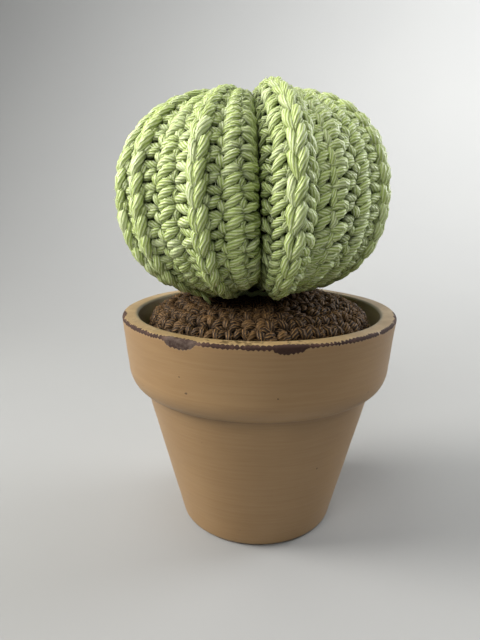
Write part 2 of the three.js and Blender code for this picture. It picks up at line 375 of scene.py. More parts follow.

# The inside wall is coloured a darker olive than the outside.
INNER_SLOPE = (RIM_INNER_RADIUS - FLOOR_INNER_RADIUS) / (POT_HEIGHT - FLOOR_THICKNESS)
inner_wall = FLOOR_INNER_RADIUS + (z - FLOOR_THICKNESS) * INNER_SLOPE
inside = (1 - (radius - inner_wall).step(0.0002, 0.0014)) * z.step(
    FLOOR_THICKNESS - 0.001, FLOOR_THICKNESS)
coat = inside.mix(coat, patches.step(0.3, 0.7).mix(linear(112, 100, 68), linear(134, 122, 84)))

# Wear: how far it reaches down the side and in over the top, by direction. The teeth are the
# marks of a knurled tool. A chip has a direction and half a width in radians, and a depth.
WEAR_REACH = 0.001
TEETH_TO_A_RADIAN = 34.0
CHIPS = ((-0.53, 0.11, 0.0018), (0.155, 0.1, 0.0011), (-1.36, 0.09, 0.0016), (1.34, 0.1, 0.0008))
teeth = angle * TEETH_TO_A_RADIAN + place.grain(160.0, 1.0) * 1.4
teeth = tree.maths("PINGPONG", teeth, 0.5) - 0.25
ragged = place.grain(420.0, 3.0, 0.65) - 0.5
reach = WEAR_REACH + teeth * 0.0006 + ragged * 0.0011 + (place.grain(50.0, 1.0) - 0.5) * 0.0009
for at, half, depth in CHIPS:
    off = (angle - at) / half
    reach = reach + tree.maths("SQRT", tree.maths("MAXIMUM", 1 - off * off, 0.0)) * depth
down = POT_HEIGHT - z
worn = (reach - down).step(-0.00006, 0.00006)
top_reach = (RIM_RADIUS - 0.0005 - ragged * 0.0012 - teeth * 0.0005
             - (reach - WEAR_REACH) * 0.45)
worn = worn * (radius - top_reach).step(-0.00005, 0.00005)
bare = place.grain(300.0, 4.0, 0.75)
bare_tone = bare.step(0.45, 0.68).mix(linear(52, 30, 20), linear(86, 58, 46))
chalky = angle.step(-0.68, -0.6) * (1 - angle.step(-0.45, -0.35)) * bare.step(0.36, 0.6)
bare_tone = (chalky * 0.5).mix(bare_tone, linear(106, 94, 84))
relief = strokes * 0.5 + fine_strokes * 0.3 + stain * on_top * 0.5 - worn * 1.6 + bare * worn
wear(
    paint,
    base_color=worn.mix(coat, bare_tone),
    roughness=0.4 + strokes * 0.1 + worn * 0.4,
    normal=relief.bump(0.00009),
)
pot.data.materials.append(paint)
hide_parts("pot")
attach(pot, "root")

# ---- Filling --------------------------------------------------------------------------------
# White polyester fibre, pulled into tufts and pushed into the cushion and the cactus before each
# of them is closed. It is all out of sight inside them.
TUFT_SCALE = 300.0
TUFT_RISE = 0.0005
filling, tree = finish("fibre_filling", {"Roughness": 0.95, "Sheen Weight": 0.3})
place = tree.node("ShaderNodeTexCoord", output="Object")
tufts = place.grain(TUFT_SCALE, 4.0, 0.7)
wear(
    filling,
    base_color=tufts.mix(linear(222, 220, 212), linear(250, 249, 245)),
    normal=tufts.bump(0.0006),
)


def grid_faces(rows, columns):
    """The faces of a grid of points, numbered row by row."""
    return [
        (r * columns + c, r * columns + c + 1, (r + 1) * columns + c + 1, (r + 1) * columns + c)
        for r in range(rows - 1) for c in range(columns - 1)
    ]


def turned_outline(radius, height, turns):
    """A grid of points, rows by columns, from an outline turned round the Z axis."""
    return np.stack([
        np.outer(radius, np.sin(turns)), -np.outer(radius, np.cos(turns)),
        np.repeat(height[:, None], len(turns), 1)], 2)


def stuff(name, grid, node):
    """Filling in the shape of a closed grid, tufted, in place of a stuffing node."""
    piece = add_mesh(name, grid.reshape(-1, 3), grid_faces(*grid.shape[:2]))
    outward(piece)
    for vertex in piece.data.vertices:
        vertex.co += vertex.normal * TUFT_RISE * noise.noise(vertex.co * TUFT_SCALE)
    piece.data.materials.append(filling)
    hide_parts(node)
    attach(piece, "root")


# ---- Soil cushion ---------------------------------------------------------------------------
# Fuzzy brown yarn worked in rounds from the middle of the dome outwards, so each stitch shows a
# pair of strands that meet towards the middle. The cover is stuffed and wedged into the pot.
MILLIMETRE = 0.001
CLEARANCE = 0.00035
SOIL_RADIUS = 0.0313
SOIL_SHOULDER = 0.0612
SOIL_CROWN = 0.0076
SOIL_SQUARENESS = 2.4
SOIL_WALL_FOOT = 0.0125
SOIL_STITCH = 0.0038
SOIL_ROUND_PITCH = 0.0041
SOIL_YARN_RADIUS = 0.0011
SOIL_BACKING = 0.0007
SOIL_CORNER = 0.003
SOIL_FABRIC = 0.0038
SOIL_WORKED = 0.05
SOIL_GUIDE_GRID = (180, 241)
SOIL_FILLING_GRID = (60, 73)


def outline_by_length(radius, height):
    """Radius and height as functions of the share of an outline's length, and that length."""
    steps = np.hypot(np.diff(radius), np.diff(height))
    run = np.concatenate([[0], np.cumsum(steps)])
    places = run / run[-1]

    def radius_at(share):
        return np.interp(share, places, radius)

    def height_at(share):
        return np.interp(share, places, height)

    return radius_at, height_at, run[-1]


def squared_ellipse(turn, half_width, half_height, squareness):
    """Radius and height at angles from the middle, with fuller corners than an ellipse has."""
    power = 2 / squareness
    across = np.cos(turn).clip(0) ** power
    up = np.sign(np.sin(turn)) * np.abs(np.sin(turn)) ** power
    return half_width * across, half_height * up


def guide_mesh(name, points):
    """A grid of points, rows by columns, as a mesh that knows its flat place and its outside."""
    rows, columns = points.shape[:2]
    along = np.gradient(points, axis=1)
    along[:, [0, -1]] = ((points[:, 1] - points[:, 0] + points[:, -1] - points[:, -2]) / 2)[:, None]
    out = np.cross(along, np.gradient(points, axis=0))
    out /= np.linalg.norm(out, axis=2, keepdims=True) + 1e-12
    guide = add_mesh(name, points.reshape(-1, 3), grid_faces(rows, columns))
    flat = np.zeros((rows, columns, 3))
    flat[..., 0] = np.linspace(0, 1, columns)
    flat[..., 1] = np.linspace(0, 1, rows)[:, None]
    for attribute, values in (("wrap", flat), ("out", out)):
        stored = guide.data.attributes.new(attribute, "FLOAT_VECTOR", "POINT")
        stored.data.foreach_set("vector", values.reshape(-1).astype(np.float32))
    return guide


def stitch_shapes(name, shapes):
    """A collection of stitches, each some strands given by points of across, up and out."""
    collection = bpy.data.collections.new(name)
    for number, strands in enumerate(shapes):
        curve = bpy.data.curves.new(f"{name}_{number}", "CURVE")
        curve.dimensions = "3D"
        for strand in strands:
            spline = curve.splines.new("POLY")
            spline.points.add(len(strand) - 1)
            for point, (across, up, out, thickness) in zip(spline.points, strand):
                point.co = (across, up, out, 1)
                point.radius = thickness
        collection.objects.link(bpy.data.objects.new(curve.name, curve))
    return collection


# How the yarn of both covers lies: how closely it wavers, how far the plan keeps from its lower
# and upper ends, how much thinner a strand is at its ends, and its stray fibres.
WAVER_SCALE = 330.0
SEED_SHIFT = 0.013
PLAN_MARGIN = 0.002
STRAND_END = 0.78
STRAND_BELLY = 0.32
FIBRE_ROOTS_ABOVE = 0.0004
FIBRE_ROOT_RADIUS = 0.00008
FIBRE_TAPER = 0.00005
FIBRE_LEAN = 1.1


def crochet_tree():
    """Lays a stitch in every cell of a flat plan, wraps them over a guide and thickens them."""
    tree = bpy.data.node_groups.new("crochet", "GeometryNodeTree")
    for name, kind in (
        ("Cells", "Geometry"), ("Guide", "Object"), ("Stitches", "Collection"),
        ("Flat width", "Float"), ("Flat height", "Float"), ("Yarn radius", "Float"),
        ("Sides", "Int"), ("Rings", "Int"), ("Twist", "Float"), ("Waver", "Float"),
        ("Seed", "Int"), ("Backing depth", "Float"), ("Fibres per area", "Float"),
        ("Fibre length", "Float"), ("Yarn", "Material"), ("Backing", "Material"),
    ):
        tree.interface.new_socket(name, in_out="INPUT", socket_type=f"NodeSocket{kind}")
    tree.interface.new_socket("Cover", in_out="OUTPUT", socket_type="NodeSocketGeometry")
    given = Wire(tree, tree.nodes.new("NodeGroupInput").outputs[0])

    def stored(name, kind="FLOAT"):
        return given.node("GeometryNodeInputNamedAttribute", {"data_type": kind}, {"Name": name})

    def store(geometry, name, value, kind="FLOAT", domain="POINT"):
        return given.node(
            "GeometryNodeStoreNamedAttribute", {"data_type": kind, "domain": domain},
            {"Geometry": geometry, "Name": name, "Value": value},
        )

    shapes = given.node("GeometryNodeCollectionInfo", {}, {
        "Collection": given.out("Stitches"), "Separate Children": True, "Reset Children": True})
    size = given.node("ShaderNodeCombineXYZ", {}, {
        "X": stored("wide"), "Y": stored("tall"), "Z": MILLIMETRE})
    placed = given.node("GeometryNodeInstanceOnPoints", {}, {
        "Points": given, "Instance": shapes, "Pick Instance": True,
        "Instance Index": stored("kind", "INT"), "Scale": size})
    lines = given.node("GeometryNodeRealizeInstances", {}, {"Geometry": placed})
    lines = given.node(
        "GeometryNodeCurveSplineType", {"spline_type": "CATMULL_ROM"}, {"Curve": lines})
    lines = given.node("GeometryNodeResampleCurve", {"mode": "COUNT"}, {
        "Curve": lines, "Count": given.out("Rings")})

    # The strands waver a little, and are wrapped from the flat plan over the guide.
    spot = given.node("GeometryNodeInputPosition")
    shift = given.out("Seed") * SEED_SHIFT
    waver = ((spot + shift).grain(WAVER_SCALE, 1.0, output="Color") - 0.5) * given.out("Waver")
    across, up, out = (spot + waver).parts()
    turn = given.maths("MAXIMUM", given.maths("FRACT", across / given.out("Flat width")), 0.0001)
    level = given.maths("MINIMUM", up / given.out("Flat height"), 1 - PLAN_MARGIN)
    level = given.maths("MAXIMUM", level, PLAN_MARGIN)
    flat = given.node("ShaderNodeCombineXYZ", {}, {"X": turn, "Y": level})
    surface = given.node("GeometryNodeObjectInfo", {}, {"Object": given.out("Guide")}, "Geometry")

    def on_guide(value):
        return given.node("GeometryNodeSampleUVSurface", {"data_type": "FLOAT_VECTOR"}, {
            "Mesh": surface, "Value": value, "UV Map": stored("wrap", "FLOAT_VECTOR"),
            "Sample UV": flat})

    outside = on_guide(stored("out", "FLOAT_VECTOR"))
    lift = given.node("ShaderNodeVectorMath", {"operation": "SCALE"}, {
        "Vector": outside, "Scale": out})
    lines = store(lines, "high", out)
    lines = store(lines, "outside", outside, "FLOAT_VECTOR")
    lines = given.node("GeometryNodeSetPosition", {}, {
        "Geometry": lines, "Position": on_guide(given.node("GeometryNodeInputPosition")) + lift})
    lines = store(lines, "core", given.node("GeometryNodeInputPosition"), "FLOAT_VECTOR")
    along = given.node("GeometryNodeSplineParameter")
    lines = store(lines, "along", along)
    chance = given.node("FunctionNodeRandomValue", {"data_type": "FLOAT"}, {
        "ID": given.node("GeometryNodeInputIndex"), "Seed": given.out("Seed")}, 1)
    lines = store(lines, "lot", chance, domain="CURVE")
    lines = given.node("GeometryNodeSetCurveTilt", {}, {
        "Curve": lines, "Tilt": along * given.out("Twist") + stored("lot") * 6.0})

    # Each strand is fuller in its middle than at its ends, where it dives into the fabric.
    ring = given.node("GeometryNodeCurvePrimitiveCircle", {}, {
        "Resolution": given.out("Sides"), "Radius": 1.0})
    ring = store(ring, "around", given.node("GeometryNodeInputPosition"), "FLOAT_VECTOR")
    belly = STRAND_END + given.maths("SINE", stored("along") * math.pi) * STRAND_BELLY
    thickness = given.node("GeometryNodeInputRadius") * given.out("Yarn radius") * stored("plump")
    thickness = thickness * belly
    strands = given.node("GeometryNodeCurveToMesh", {}, {
        "Curve": lines, "Profile Curve": ring, "Scale": thickness, "Fill Caps": True})
    from_core = given.node("GeometryNodeInputPosition") - stored("core", "FLOAT_VECTOR")
    rise = given.node("ShaderNodeVectorMath", {"operation": "DOT_PRODUCT"}, {
        0: from_core, 1: stored("outside", "FLOAT_VECTOR")}, "Value")
    strands = store(strands, "high", stored("high") + rise)

    # Stray fibres stand off the upper side of the strands.
    roots = given.node("GeometryNodeDistributePointsOnFaces", {}, {
        "Mesh": strands, "Density": given.out("Fibres per area"), "Seed": given.out("Seed"),
        "Selection": given.maths("GREATER_THAN", stored("high"), FIBRE_ROOTS_ABOVE)})
    lean = given.node("FunctionNodeRandomValue", {"data_type": "FLOAT_VECTOR"}, {
        "Min": (-FIBRE_LEAN,) * 3, "Max": (FIBRE_LEAN,) * 3, "Seed": given.out("Seed")})
    facing = given.node("FunctionNodeAlignRotationToVector", {"axis": "Z"}, {
        "Vector": roots.out("Normal") + lean})
    reach = given.node("FunctionNodeRandomValue", {"data_type": "FLOAT"}, {
        2: 0.4, 3: 1.0, "Seed": given.out("Seed")}, 1) * given.out("Fibre length")
    hair = given.node("GeometryNodeCurveQuadraticBezier", {}, {
        "Resolution": 4, "Start": (0, 0, 0), "Middle": (0, 0, 0.6), "End": (0.55, 0, 0.8)})
    hair = given.node("GeometryNodeInstanceOnPoints", {}, {
        "Points": roots, "Instance": hair, "Rotation": facing, "Scale": reach})
    hair = given.node("GeometryNodeRealizeInstances", {}, {"Geometry": hair})
    fine = given.node("GeometryNodeCurvePrimitiveCircle", {}, {"Resolution": 3, "Radius": 1.0})
    taper = given.node("GeometryNodeSplineParameter")
    fibres = given.node("GeometryNodeCurveToMesh", {}, {
        "Curve": hair, "Profile Curve": fine, "Scale": FIBRE_ROOT_RADIUS - taper * FIBRE_TAPER,
        "Fill Caps": True})
    # The fibres are stored as standing high on a ply's crest, so they take the yarn's unshaded tone
    # and its painted highlight.
    fibres = store(fibres, "high", 0.0016)
    fibres = store(fibres, "around", (0.92, 0.38, 0.0), "FLOAT_VECTOR")

    # The back loops lie a little behind the guide.
    inner = given.node("ShaderNodeVectorMath", {"operation": "SCALE"}, {
        "Vector": stored("out", "FLOAT_VECTOR"), "Scale": 0 - given.out("Backing depth")})
    backing = given.node("GeometryNodeSetPosition", {}, {"Geometry": surface, "Offset": inner})
    backing = given.node("GeometryNodeMergeByDistance", {}, {"Geometry": backing, "Distance": 1e-6})

    def covered(geometry, name):
        real = given.node("GeometryNodeRealizeInstances", {}, {"Geometry": geometry})
        return given.node("GeometryNodeSetMaterial", {}, {
            "Geometry": real, "Material": given.out(name)})

    both = given.node("GeometryNodeJoinGeometry")
    for part, name in ((backing, "Backing"), (strands, "Yarn"), (fibres, "Yarn")):
        tree.links.new(covered(part, name).socket, both.socket.node.inputs[0])
    smooth = given.node("GeometryNodeSetShadeSmooth", {}, {"Geometry": both, "Shade Smooth": True})
    tree.links.new(smooth.socket, tree.nodes.new("NodeGroupOutput").inputs[0])
    return tree


crochet = crochet_tree()


def worked(name, cells, guide, stitches, values):
    """Works stitches over a guide. A cell is across, up, kind, wide, tall and plump."""
    plan = bpy.data.meshes.new(name)
    plan.from_pydata([(cell[0], cell[1], 0) for cell in cells], [], [])
    for column, (attribute, kind) in enumerate(
        (("kind", "INT"), ("wide", "FLOAT"), ("tall", "FLOAT"), ("plump", "FLOAT")), start=2
    ):
        data = plan.attributes.new(attribute, kind, "POINT").data
        data.foreach_set("value", [cell[column] for cell in cells])
    flat = bpy.data.objects.new(name, plan)
    bpy.context.scene.collection.objects.link(flat)
    modifier = flat.modifiers.new("crochet", "NODES")
    modifier.node_group = crochet
    values = {"Guide": guide, "Stitches": stitches, **values}
    for item in crochet.interface.items_tree:
        if item.in_out == "INPUT" and item.name in values:
            modifier[item.identifier] = values[item.name]
    graph = bpy.context.evaluated_depsgraph_get()
    mesh = bpy.data.meshes.new_from_object(flat.evaluated_get(graph))
    flat.modifiers.remove(modifier)
    flat.data = mesh
    for shape in list(stitches.objects):
        bpy.data.objects.remove(shape)
    bpy.data.collections.remove(stitches)
    bpy.data.objects.remove(guide)
    return flat


def yarn(name, tones, plies, crest, gloss, constants):
    """A twisted yarn: colour and relief follow its plies and the fine fibres that run along them.

    The tones are a painted shade for the hollows between the plies, the sides' own tone, a painted
    highlight for the crests of the plies, and a painted shade for the strands that lie deep in the
    fabric. Crest is the share of a ply where its painted highlight starts.
    """
    material, tree = finish(name, constants)

    def stored(attribute, output):
        return tree.node("ShaderNodeAttribute", {"attribute_name": attribute}, output=output)

    painted_hollow_shade, side, light, deep = tones
    cosine, sine, _ = stored("around", "Vector").parts()
    along, lot, high = (stored(attribute, "Fac") for attribute in ("along", "lot", "high"))
    angle = tree.maths("ARCTAN2", sine, cosine)
    ply = tree.maths("ABSOLUTE", tree.maths("SINE", angle * (plies / 2)))
    thread = tree.node("ShaderNodeCombineXYZ", inputs={
        "X": cosine * 4.0 + lot * 31.0, "Y": sine * 4.0, "Z": along * 2.6})
    fibres = thread.grain(3.2, 3.0, 0.6)
    place = tree.node("ShaderNodeTexCoord", output="Object")
    blotch = place.grain(85.0, 2.0)
    # The hollows between the plies take a painted shade, and the crests a painted highlight.
    colour = ply.step(0.0, 0.5).mix(painted_hollow_shade, side)
    colour = (ply.step(crest, 1.0) * fibres.step(0.36, 0.62)).mix(colour, light)
    colour = (blotch.step(0.4, 0.7) * 0.3).mix(colour, side)
    colour = (lot.step(0.6, 1.0) * 0.25).mix(colour, light)
    # Strands that lie low in the fabric fade to the deep tone, a painted shade between the strands.
    clear_of_painted_shade = high.step(-0.0004, 0.0013)
    colour = clear_of_painted_shade.mix(deep, colour)
    relief = ply * 0.75 + fibres * 0.25
    wear(material, base_color=colour, normal=relief.bump(0.0002),
         roughness=gloss + fibres * 0.2 + (1 - ply) * 0.15 + (1 - clear_of_painted_shade) * 0.4)
    return material


def backing(name, dark, light):
    """The back loops of the fabric, seen only in the holes between the strands, as painted shade.
    """
    material, tree = finish(name, {"Roughness": 0.9})
    place = tree.node("ShaderNodeTexCoord", output="Object")
    loops = place.node("ShaderNodeTexVoronoi", {"feature": "F1"}, {"Vector": place, "Scale": 620.0})
    wear(material, base_color=loops.step(0.1, 0.7).mix(light, dark), normal=loops.bump(0.0006))
    return material


dome_radius, dome_height = squared_ellipse(
    np.linspace(0, quarter, 400), SOIL_RADIUS, SOIL_CROWN, SOIL_SQUARENESS)
foot_radius = (FLOOR_INNER_RADIUS + (SOIL_WALL_FOOT - FLOOR_THICKNESS) * INNER_SLOPE
               - 2 * CLEARANCE)
soil_outline = (
    np.concatenate([[0, foot_radius - SOIL_CORNER, foot_radius, SOIL_RADIUS], dome_radius]),
    np.concatenate([[SOIL_WALL_FOOT, SOIL_WALL_FOOT, SOIL_WALL_FOOT + SOIL_CORNER,
                     SOIL_SHOULDER - SOIL_CORNER], SOIL_SHOULDER + dome_height]),
)
soil_at, soil_z, soil_length = outline_by_length(*soil_outline)
shares = np.linspace(0, 1, SOIL_GUIDE_GRID[0])
turns = np.linspace(0, 2 * math.pi, SOIL_GUIDE_GRID[1])
soil_guide = guide_mesh("soil_guide", turned_outline(soil_at(shares), soil_z(shares), turns))

shares = np.linspace(0, 1, SOIL_FILLING_GRID[0])
turns = np.linspace(0, 2 * math.pi, SOIL_FILLING_GRID[1])
inner_radius = soil_at(shares) * (1 - SOIL_FABRIC / SOIL_RADIUS)
inner_height = SOIL_WALL_FOOT + SOIL_FABRIC + (soil_z(shares) - SOIL_WALL_FOOT) * (
    1 - 2 * SOIL_FABRIC / (SOIL_SHOULDER + SOIL_CROWN - SOIL_WALL_FOOT))
stuff("soil_filling", turned_outline(inner_radius, inner_height, turns), "soil_stuffing")

# Across and up are shares of a cell, out is in millimetres, and the last is the thickness.
SOIL_STITCHES = [[
    [(-0.5, -0.44, -1.0, 0.7), (-0.42, -0.2, -0.1, 1.0), (-0.26, 0.08, 0.25, 1.1),
     (-0.08, 0.36, -0.1, 1.0), (0.04, 0.54, -1.0, 0.7)],
    [(-0.02, 0.5, -1.0, 0.7), (0.1, 0.36, 0.0, 1.0), (0.28, 0.1, 0.35, 1.12),
     (0.42, -0.18, 0.0, 1.0), (0.5, -0.42, -1.0, 0.7)],
    [(-0.36, -0.34, -1.1, 0.7), (-0.16, -0.42, -0.25, 1.0), (0.1, -0.44, -0.2, 1.0),
     (0.34, -0.38, -1.1, 0.7)],
], [
    [(-0.56, -0.1, -1.0, 0.7), (-0.36, 0.02, 0.0, 1.05), (-0.1, 0.2, 0.35, 1.15),
     (0.16, 0.36, 0.0, 1.0), (0.34, 0.46, -1.0, 0.7)],
    [(-0.3, -0.52, -1.0, 0.7), (-0.14, -0.34, 0.0, 1.0), (0.12, -0.1, 0.3, 1.1),
     (0.36, 0.04, 0.0, 1.0), (0.56, 0.1, -1.0, 0.7)],
    [(0.16, -0.3, -1.1, 0.7), (0.34, -0.42, -0.2, 1.0), (0.56, -0.44, -0.2, 1.0),
     (0.74, -0.36, -1.1, 0.7)],
]]

# Each round has as many stitches as fit it, slipped against the last round's and a little loose.
OTHER_STITCH_SHARE = 0.35
SOIL_FEWEST = 6
SOIL_ROUND_SLIP = 0.37
SOIL_LOOSE_ACROSS = 0.18
SOIL_LOOSE_UP = 0.0005
SOIL_PLUMP = (0.84, 1.08)
rng = np.random.default_rng(7)
soil_girth = 2 * math.pi * SOIL_RADIUS
soil_cells = []
share = 1 - 0.5 * SOIL_ROUND_PITCH / soil_length
rounds = 0
while share > 1 - SOIL_WORKED / soil_length:
    count = max(SOIL_FEWEST, round(2 * math.pi * float(soil_at(share)) / SOIL_STITCH))
    for k in range(count):
        stray = rng.uniform(-SOIL_LOOSE_ACROSS, SOIL_LOOSE_ACROSS)
        soil_cells.append((
            (k + SOIL_ROUND_SLIP * rounds + stray) / count * soil_girth,
            share * soil_length + rng.uniform(-SOIL_LOOSE_UP, SOIL_LOOSE_UP),
            int(rng.random() < OTHER_STITCH_SHARE),
            soil_girth / count, SOIL_ROUND_PITCH, rng.uniform(*SOIL_PLUMP)))
    share -= SOIL_ROUND_PITCH / soil_length
    rounds += 1

# The yarn's hollow and deep tones are painted shade and its crest tone a painted highlight; the
# backing's tones are painted shade for the holes between the strands.
BROWNS = linear(26, 16, 6), linear(45, 30, 13), linear(154, 116, 68), linear(14, 8, 3)
brown_yarn = yarn("brown_yarn", BROWNS, 8, 0.76, 0.55, {
    "Specular IOR Level": 0.3, "Sheen Weight": 0.1, "Sheen Roughness": 0.4,
    "Sheen Tint": linear(220, 160, 100)})
brown_backing = backing("brown_backing", linear(14, 9, 4), linear(44, 29, 15))
soil = worked("soil_cushion", soil_cells, soil_guide, stitch_shapes("soil_stitch", SOIL_STITCHES), {
    "Flat width": soil_girth, "Flat height": soil_length, "Yarn radius": SOIL_YARN_RADIUS,
    "Sides": 8, "Rings": 7, "Twist": 3.0, "Waver": 0.0012, "Seed": 3,
    "Fibres per area": 360000.0, "Fibre length": 0.0015,
    "Backing depth": SOIL_BACKING, "Yarn": brown_yarn, "Backing": brown_backing})
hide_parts("soil_cover")
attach(soil, "root")

# ---- Cactus ---------------------------------------------------------------------------------
# Shiny mercerised cotton worked in upright rows, each stitch lying on its side. Every few rows a
# ridge of chained loops stands up as a rib, the two ends of the work meet in the deep seam at the
# front, and both poles are gathered. The body is stuffed firm and leans a little on its cushion.
HALF_WIDTH = 0.0366
HALF_HEIGHT = 0.0276
ABOVE_RIM = 0.0327
ASIDE = -0.0024
TILT = math.radians(2.6)
SQUARENESS = 2.35
DIMPLE_DEPTH = 0.005
DIMPLE_RADIUS = 0.008
STITCH_ROWS = 22
YARN_RADIUS = 0.00112
BODY_BACKING = 0.0006
BODY_FABRIC = 0.0045
BODY_SINK = 0.0009  # the yarn's middle lies this far under the outside of the cover
BODY_GUIDE_GRID = (181, 541)
BODY_FILLING_GRID = (41, 91)
FILLING_SPREAD = 3.0

# Direction in degrees, rise and width of the ridge, how fast it fades to the poles, half of the
# angle that its own stitches take, their kind, and the stitch columns up to the next one. Plain
# ribs share their width and fade.
PANEL = ("roof", "arch", "fan")
RIB_FORM = (0.0024, 0.9)
SEAM = (2.5, -0.0095, 0.0019, 1.5, 0.7, None, ("hook", "arch"))
RIBS = [
    (-62.5, 0.0016, *RIB_FORM, 2.6, "rib", ("fan",)),
    (-47.5, 0.002, *RIB_FORM, 2.6, "rib", PANEL),
    (-19.5, 0.0024, *RIB_FORM, 2.6, "rib", PANEL),
    SEAM,
    (13.0, 0.0014, *RIB_FORM, 2.3, "rib", ("shoulder", "ladder")),
    (32.4, 0.001, *RIB_FORM, 3.2, "edge", PANEL),
]
BACK_RIBS = 8
BACK_START = 62
for turn in np.linspace(BACK_START, RIBS[0][0] + 360, BACK_RIBS, endpoint=False):
    RIBS.append((turn, 0.0017, *RIB_FORM, 2.7, "rib", PANEL))

# The stuffing swells the body beside the seam: direction, rise, width and how fast it fades.
LOBES = [(10, 0.0015, 0.0055, 1.6), (15.8, 0.0028, 0.0031, 1.0)]

# Where the seam runs out at the bottom it opens into a notch: how far up it is, how tall, how deep
# and how wide. The ridge beside the seam sways: its direction, how far round it draws the fabric,
# and by how many degrees.
NOTCH = (0.165, 0.06, 0.006, 0.0048)
SWAY = (14, 7, 10)

body_radius, body_height = squared_ellipse(
    np.linspace(-quarter, quarter, 4001), HALF_WIDTH, HALF_HEIGHT, SQUARENESS)
body_height = body_height - np.sign(body_height) * DIMPLE_DEPTH * np.exp(
    -(body_radius / DIMPLE_RADIUS) ** 2)
body_at, body_z, body_length = outline_by_length(body_radius, body_height)
body_girth = 2 * math.pi * HALF_WIDTH


def body_point(degrees, share, out=0.0, spread=1.0):
    """Places on the body: directions in degrees, shares of the way up, and distances out.

    Spread widens the ribs and the seam, for the filling under them.
    """
    nudge = 1e-4
    dr = body_at(np.minimum(share + nudge, 1)) - body_at(np.maximum(share - nudge, 0))
    dz = body_z(np.minimum(share + nudge, 1)) - body_z(np.maximum(share - nudge, 0))
    belly = np.sin(math.pi * share).clip(0)
    swell = out
    for at, rise, width, fade in [rib[:4] for rib in RIBS] + LOBES:
        off = np.radians(np.abs((degrees - at + 180) % 360 - 180)) * HALF_WIDTH
        swell = swell + rise * belly**fade * np.exp(-(off / width / spread) ** 2)
    up, tall, deep, wide = NOTCH
    off = np.radians((degrees - SEAM[0] + 180) % 360 - 180) * body_at(share)
    swell = swell - deep * np.exp(-((share - up) / tall) ** 2 - (off / wide / spread) ** 2)
    slope = np.hypot(dr, dz) + 1e-15
    radius = (body_at(share) + dz / slope * swell).clip(0)
    height = body_z(share) - dr / slope * swell
    at, reach, sway = SWAY
    pull = sway * (share - 0.5) * (0.6 + 0.8 * share) * np.exp(-((degrees - at) / reach) ** 2)
    turned = np.radians(degrees + pull)
    x, y = radius * np.sin(turned), -radius * np.cos(turned)
    return np.stack([
        ASIDE + x * math.cos(TILT) - height * math.sin(TILT), y,
        POT_HEIGHT + ABOVE_RIM + height * math.cos(TILT) + x * math.sin(TILT)], -1)


def body_grid(size, out, spread=1.0):
    """The body's surface as a grid of points, rows by columns."""
    rows, across = size
    degrees, shares = np.meshgrid(np.linspace(0, 360, across), np.linspace(0, 1, rows))
    return body_point(degrees, shares, out, spread)


body_guide = guide_mesh("body_guide", body_grid(BODY_GUIDE_GRID, -BODY_SINK))
stuffing = body_grid(BODY_FILLING_GRID, -BODY_FABRIC, FILLING_SPREAD)
stuff("cactus_filling", stuffing, "cactus_stuffing")

# How high up the stitches of each kind sit in a row, in shares of a row, and their strands.
RIB_LOOPS = 0.3, [
    [(-0.14, 1.14, -1.2, 0.6), (-0.26, 0.92, -0.2, 1.0), (-0.29, 0.62, 0.3, 1.14),
     (-0.21, 0.3, 0.4, 1.12), (-0.1, -0.02, 0.3, 1.02), (-0.03, -0.32, -0.1, 0.88),
     (0.0, -0.52, -1.1, 0.6)],
    [(0.14, 1.2, -1.2, 0.6), (0.27, 0.98, -0.1, 1.02), (0.3, 0.68, 0.4, 1.16),
     (0.21, 0.36, 0.5, 1.14), (0.11, 0.04, 0.4, 1.04), (0.04, -0.28, 0.0, 0.9),
     (0.0, -0.5, -1.1, 0.6)],
    [(-0.34, 0.42, -1.2, 0.6), (-0.48, 0.24, -0.5, 1.0), (-0.54, -0.06, -0.4, 1.08),
     (-0.42, -0.36, -1.1, 0.6)],
    [(0.34, 0.5, -1.2, 0.6), (0.46, 0.3, -0.4, 1.0), (0.52, -0.02, -0.3, 1.1),
     (0.44, -0.36, -1.1, 0.6)],
]
ROOF = -0.16, [
    [(-0.5, -0.08, -1.2, 0.65), (-0.32, 0.08, -0.4, 1.0), (-0.06, 0.28, 0.0, 1.08),
     (0.16, 0.44, -0.4, 0.95), (0.28, 0.54, -1.2, 0.65)],
    [(0.04, 0.34, -1.2, 0.65), (0.17, 0.16, -0.3, 1.0), (0.33, -0.05, 0.0, 1.06),
     (0.48, -0.26, -0.4, 0.98), (0.58, -0.42, -1.2, 0.65)],
    [(-0.66, -0.36, -1.2, 0.65), (-0.4, -0.38, -0.4, 1.04), (-0.08, -0.38, -0.25, 1.08),
     (0.22, -0.42, -0.4, 1.04), (0.46, -0.46, -1.2, 0.65)],
]
SHOULDER = 0.1, [
    [(-0.6, 0.5, -1.1, 0.65), (-0.36, 0.42, 0.0, 1.06), (-0.02, 0.14, 0.35, 1.16),
     (0.24, -0.2, 0.1, 1.06), (0.36, -0.55, -1.0, 0.65)],
    [(-0.6, 0.0, -1.1, 0.65), (-0.4, -0.06, -0.1, 1.0), (-0.12, -0.28, 0.1, 1.1),
     (0.08, -0.56, -0.2, 1.0), (0.16, -0.82, -1.1, 0.65)],
    [(0.46, 0.54, -1.1, 0.65), (0.48, 0.26, -0.3, 0.98), (0.46, -0.1, -0.25, 1.02),
     (0.52, -0.44, -1.1, 0.65)],
]
LADDER = 0.0, [
    [(-0.6, -0.55, -1.1, 0.65), (-0.44, -0.38, 0.0, 1.04), (-0.06, -0.06, 0.35, 1.16),
     (0.3, 0.2, 0.15, 1.04), (0.52, 0.34, -0.9, 0.65)],
    [(-0.6, 0.4, -1.1, 0.65), (-0.38, 0.38, -0.1, 1.02), (0.0, 0.42, 0.2, 1.1),
     (0.34, 0.48, 0.0, 1.02), (0.55, 0.54, -0.9, 0.65)],
    [(0.5, -0.6, -1.0, 0.6), (0.54, -0.32, 0.2, 0.85), (0.56, 0.02, 0.3, 0.9),
     (0.52, 0.36, 0.1, 0.85), (0.5, 0.6, -1.0, 0.6)],
]
